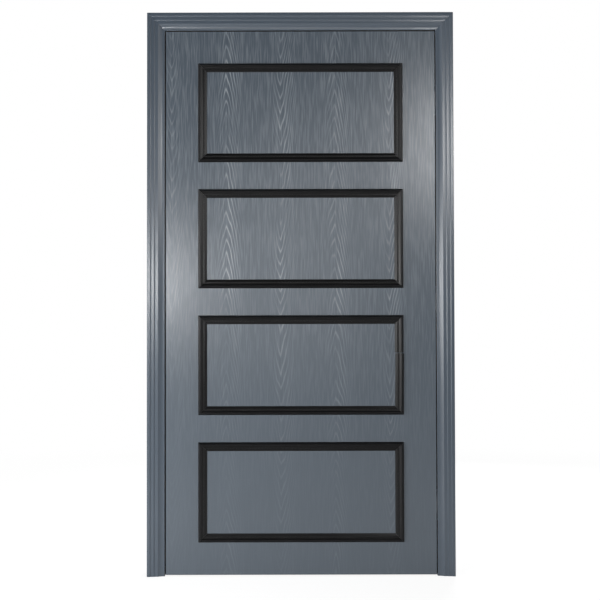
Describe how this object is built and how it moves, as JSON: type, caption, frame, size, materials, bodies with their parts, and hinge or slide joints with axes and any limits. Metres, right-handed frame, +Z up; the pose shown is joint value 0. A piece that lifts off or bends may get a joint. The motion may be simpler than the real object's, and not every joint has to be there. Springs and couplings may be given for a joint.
{
  "type": "moulded interior door",
  "caption": "Interior door leaf with a grained grey skin and planted black panel mouldings, hung on concealed hinges in its rebated frame with stepped architraves.",
  "frame": {"origin": "on the floor, under the middle of the frame's outer box", "axes": "+Z up; +X to the right as seen from the viewed side, towards the hinges; +Y through the wall, away from the viewed side"},
  "size_m": [1.121, 0.156, 2.058],
  "materials": {
    "frame_finish": "satin",
    "grained_skin": "satin",
    "black_moulding": "satin",
    "seal_rubber": "matte",
    "raw_timber": "raw",
    "chipboard": "raw",
    "zinc_casting": "satin",
    "steel": "brushed"
  },
  "bodies": {
    "frame": {"back_architrave_head": "frame_finish", "back_architrave_left": "frame_finish", "back_architrave_right": "frame_finish", "bottom_hinge_jamb_cup": "zinc_casting", "bottom_hinge_jamb_pin": "steel", "frame_corner_screws": "steel", "front_architrave_head": "frame_finish", "front_architrave_left": "frame_finish", "front_architrave_right": "frame_finish", "head_jamb": "frame_finish", "head_seal": "seal_rubber", "jamb_hinge_screws": "steel", "left_jamb": "frame_finish", "left_seal": "seal_rubber", "middle_hinge_jamb_cup": "zinc_casting", "middle_hinge_jamb_pin": "steel", "right_jamb": "frame_finish", "right_seal": "seal_rubber", "top_hinge_jamb_cup": "zinc_casting", "top_hinge_jamb_pin": "steel"},
    "leaf": {"back_skin": "grained_skin", "bottom_hinge_leaf_cup": "zinc_casting", "bottom_hinge_leaf_pin": "steel", "bottom_rail": "raw_timber", "core": "chipboard", "front_skin": "grained_skin", "hinge_stile": "raw_timber", "leaf_hinge_screws": "steel", "lock_stile": "raw_timber", "middle_hinge_leaf_cup": "zinc_casting", "middle_hinge_leaf_pin": "steel", "panel_1_back_moulding": "black_moulding", "panel_1_bottom_moulding": "black_moulding", "panel_1_left_moulding": "black_moulding", "panel_1_right_moulding": "black_moulding", "panel_1_top_moulding": "black_moulding", "panel_2_back_moulding": "black_moulding", "panel_2_bottom_moulding": "black_moulding", "panel_2_left_moulding": "black_moulding", "panel_2_right_moulding": "black_moulding", "panel_2_top_moulding": "black_moulding", "panel_3_back_moulding": "black_moulding", "panel_3_bottom_moulding": "black_moulding", "panel_3_left_moulding": "black_moulding", "panel_3_right_lower_moulding": "black_moulding", "panel_3_right_upper_moulding": "black_moulding", "panel_3_top_moulding": "black_moulding", "panel_4_back_moulding": "black_moulding", "panel_4_bottom_moulding": "black_moulding", "panel_4_left_moulding": "black_moulding", "panel_4_right_moulding": "black_moulding", "panel_4_top_moulding": "black_moulding", "top_hinge_leaf_cup": "zinc_casting", "top_hinge_leaf_pin": "steel", "top_rail": "raw_timber"},
    "hinge_links": {"bottom_hinge_link": "zinc_casting", "middle_hinge_link": "zinc_casting", "top_hinge_link": "zinc_casting"}
  },
  "joints": [
    {"name": "leaf_swing", "type": "hinge", "parent": "frame", "child": "leaf", "pos_m": [0.49475, -0.07, 1], "axis": [0, 0, 1], "range_deg": [0, 95]},
    {"name": "link_swing", "type": "hinge", "parent": "frame", "child": "hinge_links", "pos_m": [0.50125, -0.043, 1], "axis": [0, 0, 1], "range_deg": [0, 47.5]}
  ],
  "couplings": [
    {"joint": "link_swing", "follows": "leaf_swing", "ratio": 0.5}
  ]
}
